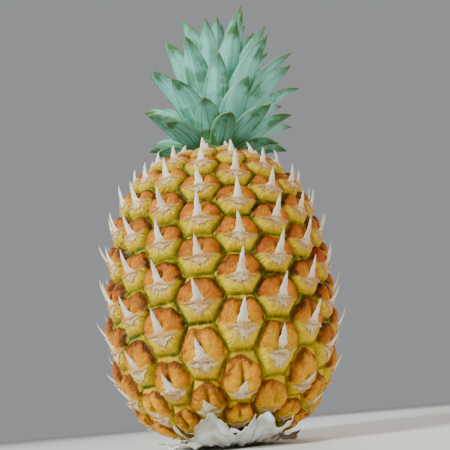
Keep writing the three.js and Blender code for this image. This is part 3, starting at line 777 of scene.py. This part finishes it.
class Nodes:
    """A material's node tree with short ways to add to it"""

    def __init__(self, name):
        self.material = bpy.data.materials.new(name)
        self.material.use_nodes = True
        self.tree = self.material.node_tree
        self.shader = self.tree.nodes["Principled BSDF"]

    def put(self, socket, value):
        if isinstance(value, bpy.types.NodeSocket):
            self.tree.links.new(value, socket)
        else:
            socket.default_value = value

    def add(self, kind, inputs, output=0, **settings):
        node = self.tree.nodes.new(kind)
        for key, value in settings.items():
            setattr(node, key, value)
        for key, value in inputs.items():
            self.put(node.inputs[key], value)
        return node.outputs[output]

    def attribute(self, name):
        return self.add("ShaderNodeAttribute", {}, "Vector", attribute_name=name)

    def parts(self, vector):
        """The three numbers of a vector"""
        node = self.tree.nodes.new("ShaderNodeSeparateXYZ")
        self.put(node.inputs[0], vector)
        return tuple(node.outputs)

    def place(self):
        return self.add("ShaderNodeTexCoord", {}, "Object")

    def math(self, operation, a, b=0.0, clamp=False):
        return self.add("ShaderNodeMath", {0: a, 1: b}, operation=operation, use_clamp=clamp)

    def plus(self, a, b, clamp=False):
        return self.math("ADD", a, b, clamp)

    def minus(self, a, b):
        return self.math("SUBTRACT", a, b)

    def times(self, a, b):
        return self.math("MULTIPLY", a, b)

    def span(self, value, low, high, to_low=0.0, to_high=1.0):
        inputs = {"Value": value, "From Min": low, "From Max": high}
        inputs.update({"To Min": to_low, "To Max": to_high})
        return self.add("ShaderNodeMapRange", inputs, interpolation_type="SMOOTHSTEP")

    def noise(self, vector, scale, detail=4.0, roughness=0.55, distortion=0.0):
        inputs = {"Vector": vector, "Scale": scale, "Detail": detail}
        inputs.update({"Roughness": roughness, "Distortion": distortion})
        return self.add("ShaderNodeTexNoise", inputs, "Fac")

    def stretch(self, vector, x, y, z):
        return self.add("ShaderNodeVectorMath", {0: vector, 1: (x, y, z)}, operation="MULTIPLY")

    def blend(self, factor, a, b):
        node = self.tree.nodes.new("ShaderNodeMix")
        node.data_type = "RGBA"
        node.clamp_factor = True
        self.put(node.inputs["Factor"], factor)
        for name, value in (("A", a), ("B", b)):
            socket = next(i for i in node.inputs if i.name == name and i.type == "RGBA")
            self.put(socket, (*value, 1.0) if isinstance(value, tuple) else value)
        return next(o for o in node.outputs if o.type == "RGBA")

    def turn(self, colour, other, value, low, high, most=1.0):
        """A colour that turns into another, at most by a share, as a value goes from low to high"""
        return self.blend(self.span(value, low, high, 0.0, most), colour, other)

    def bump(self, height, distance, strength):
        inputs = {"Height": height, "Distance": distance, "Strength": strength}
        self.put(self.shader.inputs["Normal"], self.add("ShaderNodeBump", inputs))

    def finish(self, colour, roughness, **sockets):
        self.put(self.shader.inputs["Base Color"], colour)
        self.put(self.shader.inputs["Roughness"], roughness)
        for name, value in sockets.items():
            self.put(self.shader.inputs[name.replace("_", " ")], value)
        return self.material


def rind_material():
    n = Nodes("pineapple_rind")
    upper, edge, crease = n.parts(n.attribute("form"))
    tint, level, dome = n.parts(n.attribute("own"))
    across, rise, number = n.parts(n.attribute("spot"))
    place = n.place()
    broad = n.noise(place, 24, 3)
    middle = n.noise(place, 120, 5, 0.62)
    mottle = n.noise(place, 270, 4, 0.6, 0.6)
    fine = n.noise(place, 480, 5, 0.65)
    pores = n.add("ShaderNodeTexVoronoi", {"Vector": place, "Scale": 640.0}, "Distance")
    # Painted cool key light: a mask of the -X side, where shields turn greener and grooves
    # blue-green
    painted_cool_light_side = n.span(n.parts(place)[0], 0.01, -0.055)
    high = n.span(level, 0.5, 1.0)
    low = n.span(level, 0.36, 0.1)

    # Distance and direction from the foot of the bract, for what radiates from it
    below = n.minus(FRINGE_Y, rise)
    far = n.math("SQRT", n.plus(n.times(across, across), n.times(below, below)))
    fan = n.math("ARCTAN2", across, n.plus(n.math("ABSOLUTE", below), 0.16))
    ray_inputs = {"X": n.times(fan, 5.0), "Y": n.times(far, 0.9), "Z": number}
    rays = n.noise(n.add("ShaderNodeCombineXYZ", ray_inputs), 2.6, 4, 0.6)

    # Lobes: painted shade darkens the rim, where a lobe falls into its groove; inside the rim they
    # are deep in colour, and pale by the bract.
    # They are golden low on the fruit, orange in the middle and brown under the crown, a brown that
    # is partly the rind's own and partly painted shade from the crown.
    uneven = n.plus(n.minus(middle, 0.5), n.minus(mottle, 0.5))
    depth = n.plus(dome, n.times(uneven, 1.3))
    # Blend from the painted shade at the rim to the ring's own colour
    out_of_rim_shade = n.span(depth, 0.02, 0.58)
    by_bract = n.times(n.span(far, 0.6, 0.1), n.span(rays, 0.35, 0.6, 0.1, 0.8))
    to_core = n.plus(n.span(depth, 0.5, 1.05, 0.0, 0.6), by_bract)
    bands = [n.blend(to_core, n.blend(out_of_rim_shade, rim, ring), core) for rim, ring, core in LOBE_BANDS_WITH_RIM_SHADE]
    spread = n.plus(level, n.times(n.minus(tint, 0.5), 0.22))
    lobe = n.turn(bands[0], bands[1], spread, 0.15, 0.36)
    lobe = n.turn(lobe, bands[2], spread, 0.7, 0.98)
    lobe = n.turn(lobe, LOBE_RED, tint, 0.9, 1.0, 0.6)
    lobe = n.turn(lobe, LOBE_DULL, tint, 0.3, 0.05, 0.35)
    lobe = n.turn(lobe, LOBE_RAYS, rays, 0.54, 0.68, 0.35)
    lobe = n.turn(lobe, LOBE_MOTTLE, mottle, 0.52, 0.66, 0.45)
    lobe = n.turn(lobe, LOBE_SPECKS, fine, 0.56, 0.72, 0.5)

    # Shield: yellow with pale and tan rays and pinkish paper under the bract.
    # It is greener at the groove, greener on the -X side as painted cool key light, and greener
    # under the crown, which is partly its own colour and partly painted shade.
    yellow = n.turn(*SHIELD_YELLOWS, broad, 0.35, 0.65)
    green = n.turn(*SHIELD_GREENS, middle, 0.34, 0.66)
    outer = n.span(n.plus(far, n.times(middle, 0.4)), 0.8, 1.25, 0.0, 0.7)
    turned = n.plus(n.times(painted_cool_light_side, 0.2), n.span(tint, 0.2, 0.95, 0.0, 0.18))
    turned = n.plus(turned, n.times(high, 0.4))
    shield = n.blend(n.plus(outer, turned, True), yellow, green)
    shield = n.turn(shield, SHIELD_PALE_RAYS, rays, 0.52, 0.66, 0.6)
    tan_rays = n.times(n.span(rays, 0.44, 0.34, 0.0, 0.6), n.span(far, 0.95, 0.5))
    shield = n.blend(tan_rays, shield, SHIELD_TAN_RAYS)
    tanned = n.span(n.plus(far, n.times(rays, 0.4)), 0.8, 0.35)
    paper = n.turn(*SHIELD_PAPER, rays, 0.4, 0.62)
    shield = n.blend(n.times(tanned, 0.9), shield, paper)
    shoulders = n.turn(*SHOULDER_GREENS, middle, 0.38, 0.62)
    shoulders = n.blend(n.times(low, 0.75), shoulders, SHOULDER_GOLD)
    lobe = n.turn(shoulders, lobe, dome, -0.1, 0.03)
    skin = n.blend(upper, shield, lobe)
    # Painted shade: the crease and the pit between the lobes are darkened
    skin = n.blend(n.times(crease, 0.75), skin, CREASE_PAINTED_SHADE)

    # Groove: olive to yellow-green, golden low down, with blue-green patches that are painted cool
    # key light on the -X side, and painted shade where it runs along the lobes
    groove = n.turn(*GROOVE_OLIVES, broad, 0.4, 0.6)
    groove = n.turn(groove, GROOVE_YELLOW, mottle, 0.47, 0.6, 0.8)
    groove = n.blend(n.times(low, 0.6), groove, GROOVE_GOLD)
    # Darker under the crown: partly the groove's own olive, partly painted shade from the crown
    groove = n.blend(n.times(high, 0.5), groove, GROOVE_OLIVE_AND_CROWN_SHADE)
    teal_patches_in_cool_light = n.times(n.span(n.noise(place, 60, 3), 0.5, 0.58), painted_cool_light_side)
    groove = n.blend(teal_patches_in_cool_light, groove, GROOVE_TEAL_COOL_LIGHT)
    # Painted shade in the groove along the tops of the lobes
    groove = n.blend(n.times(n.span(fine, 0.35, 0.6, 0.7, 0.1), upper), groove, GROOVE_PAINTED_SHADE)
    colour = n.turn(skin, groove, edge, 0.35, 1.0)

    rough = n.span(fine, 0.3, 0.7, 0.36, 0.56)
    height = n.plus(n.times(fine, 0.8), n.times(pores, 0.3))
    height = n.plus(height, n.times(rays, n.minus(1.25, upper)))
    height = n.plus(height, n.times(mottle, 1.6))
    n.bump(height, 0.0011, 0.95)
    sockets = {"Subsurface_Weight": 0.03, "Subsurface_Scale": 0.003, "Specular_IOR_Level": 0.2}
    return n.finish(colour, rough, **sockets)


def paper_material(name, pale, warm, dark, grey):
    """Dry papery leaf: fibres lengthwise, pale with warm, brown and grey patches"""
    n = Nodes(name)
    along_it, _, tint = n.parts(n.attribute("paper"))
    spot = n.attribute("spot")
    place = n.place()
    fibres = n.noise(n.stretch(spot, 4.0, 0.5, 1.0), 1.6, 5, 0.7)
    patches = n.noise(place, 130, 4)
    colour = n.turn(pale, warm, patches, 0.38, 0.66)
    colour = n.turn(colour, dark, fibres, 0.52, 0.66, 0.6)
    foot = n.times(n.span(along_it, 0.22, 0.0), n.span(tint, 0.0, 1.0, 0.35, 0.9))
    colour = n.blend(foot, colour, warm)
    tip = n.times(n.span(along_it, 0.75, 1.0), n.span(tint, 0.3, 1.0))
    colour = n.blend(tip, colour, dark)
    colour = n.turn(colour, grey, n.noise(place, 60, 2), 0.5, 0.7, 0.5)
    n.bump(n.plus(fibres, n.times(patches, 0.5)), 0.0005, 0.8)
    rough = n.span(patches, 0.3, 0.7, 0.62, 0.85)
    return n.finish(colour, rough, Subsurface_Weight=0.1, Subsurface_Scale=0.002)


def leaf_material():
    """Leaf with a mint bloom over green, which is worn off in streaks, at the tip and low down; the
    dark green at the base is painted shade deep in the crown
    """
    n = Nodes("pineapple_leaf")
    t, across, share = n.parts(n.attribute("blade"))
    spot = n.attribute("spot")
    place = n.place()
    streaks = n.noise(n.stretch(spot, 9.0, 0.8, 1.0), 2.2, 5, 0.65)
    fine = n.noise(n.stretch(spot, 40.0, 1.4, 1.0), 2.5, 3, 0.6)
    patches = n.noise(place, 75, 5, 0.6)
    bloom = n.turn(*LEAF_BLOOM, fine, 0.3, 0.7)
    green = n.turn(*LEAF_GREENS, fine, 0.3, 0.7)
    off = n.math("ABSOLUTE", n.minus(across, 0.5))
    wear = n.plus(n.span(streaks, 0.5, 0.64, 0.0, 0.7), n.span(patches, 0.5, 0.66, 0.0, 0.6))
    # The base of each leaf is dark green as painted shade deep in the crown; the tip is green as
    # the leaf's own colour
    ends = n.plus(n.span(t, 0.38, 0.02, 0.0, 0.95), n.span(t, 0.74, 1.0, 0.0, 0.8))
    low = n.plus(n.span(share, 0.3, 0.0, 0.0, 0.5), n.span(off, 0.3, 0.5, 0.0, 0.3))
    colour = n.blend(n.plus(n.plus(wear, ends), low, True), bloom, green)
    colour = n.turn(colour, LEAF_MARGIN, off, 0.465, 0.5, 0.35)
    dry = n.times(n.span(t, 0.95, 1.0), n.span(n.noise(place, 40, 1), 0.42, 0.5))
    colour = n.blend(dry, colour, LEAF_DRY_TIP)
    n.bump(n.plus(fine, streaks), 0.0006, 0.7)
    rough = n.span(fine, 0.3, 0.7, 0.42, 0.6)
    return n.finish(colour, rough, Subsurface_Weight=0.04, Subsurface_Scale=0.002)


def stalk_material():
    n = Nodes("pineapple_stalk")
    place = n.place()
    fibres = n.noise(n.stretch(place, 1.0, 1.0, 0.12), 900, 4, 0.6)
    rings = n.noise(place, 260, 5, 0.6)
    colour = n.turn(*STALK_FIBRES, fibres, 0.35, 0.65)
    colour = n.turn(colour, STALK_DARK, rings, 0.55, 0.75, 0.7)
    n.bump(n.plus(fibres, rings), 0.0008, 0.9)
    return n.finish(colour, n.span(rings, 0.3, 0.7, 0.75, 0.95))


def floor_material():
    n = Nodes("floor_paint")
    shaded = tuple(c * 0.97 for c in FLOOR_COLOUR)
    colour = n.turn(FLOOR_COLOUR, shaded, n.noise(n.place(), 3.0, 2), 0.3, 0.7)
    return n.finish(colour, 0.6)


def area_light(name, place, target, size, power, colour):
    light = bpy.data.lights.new(name, "AREA")
    light.shape = "SQUARE"
    light.size = size
    light.energy = power
    light.color = colour
    lamp = bpy.data.objects.new(name, light)
    lamp.location = place
    lamp.rotation_euler = (Vector(target) - Vector(place)).to_track_quat("-Z", "Y").to_euler()
    bpy.context.scene.collection.objects.link(lamp)


def studio():
    """Pale floor, pale surroundings and soft lights: cool from the left, warm from the right"""
    mesh = bpy.data.meshes.new("floor")
    reach = 3.0
    corners = [(-reach, -reach, 0), (reach, -reach, 0), (reach, reach, 0), (-reach, reach, 0)]
    mesh.from_pydata(corners, [], [(0, 1, 2, 3)])
    mesh.materials.append(floor_material())
    floor = bpy.data.objects.new("floor", mesh)
    bpy.context.scene.collection.objects.link(floor)
    world = bpy.data.worlds.new("studio")
    world.use_nodes = True
    background = world.node_tree.nodes["Background"]
    background.inputs["Color"].default_value = (0.95, 0.97, 1.0, 1)
    background.inputs["Strength"].default_value = 0.32
    bpy.context.scene.world = world
    middle = (0, 0, 0.12)
    area_light("key", (-0.72, -0.62, 0.60), middle, 0.28, 20, (0.92, 1.0, 0.93))
    area_light("warm", (0.75, -0.35, 0.30), middle, 0.4, 3.4, (1.0, 0.82, 0.58))
    area_light("back", (0.2, 0.8, 0.6), middle, 0.6, 3, (1.0, 0.98, 0.95))


def camera():
    """The photograph was taken from close by and low, looking up along the fruit"""
    lens_mm, sensor_mm = 34.297, 36
    place = (0, -0.2345, 0.01135)
    right = Vector((0.99665153, 0.01153062, -0.08094918))
    up = Vector((0.07845549, -0.41371911, 0.90701777))
    forward = Vector((0.02303175, 0.91033155, 0.41323843))
    data = bpy.data.cameras.new("camera")
    data.lens = lens_mm
    data.sensor_width = sensor_mm
    data.sensor_fit = "HORIZONTAL"
    data.clip_start = 0.01
    eye = bpy.data.objects.new("camera", data)
    turn = Matrix((right, up, -forward)).transposed().to_4x4()
    eye.matrix_world = Matrix.Translation(place) @ turn
    bpy.context.scene.collection.objects.link(eye)
    bpy.context.scene.camera = eye


rind = rind_material()
bract_paper = paper_material("bract_paper", *BRACT_PAPER)
fringe_paper = paper_material("fringe_paper", *FRINGE_PAPER)
collar_paper = paper_material("collar_paper", *COLLAR_PAPER)
leaf = leaf_material()

for make, material, node, slot in (
    (fruit_skin, rind, "fruit", "rind"),
    (bracts, bract_paper, "fruit", "dry_leaf"),
    (fringes, fringe_paper, "fruit", "dry_leaf"),
    (crown_leaves, leaf, "crown", "crown_leaf"),
    (crown_stem, leaf, "crown", "crown_leaf"),
    (collar_leaves, collar_paper, "collar", "dry_leaf"),
):
    piece = make(material)
    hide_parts(node)
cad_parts["stalk"].material_slots[0].material = stalk_material()

studio()
camera()
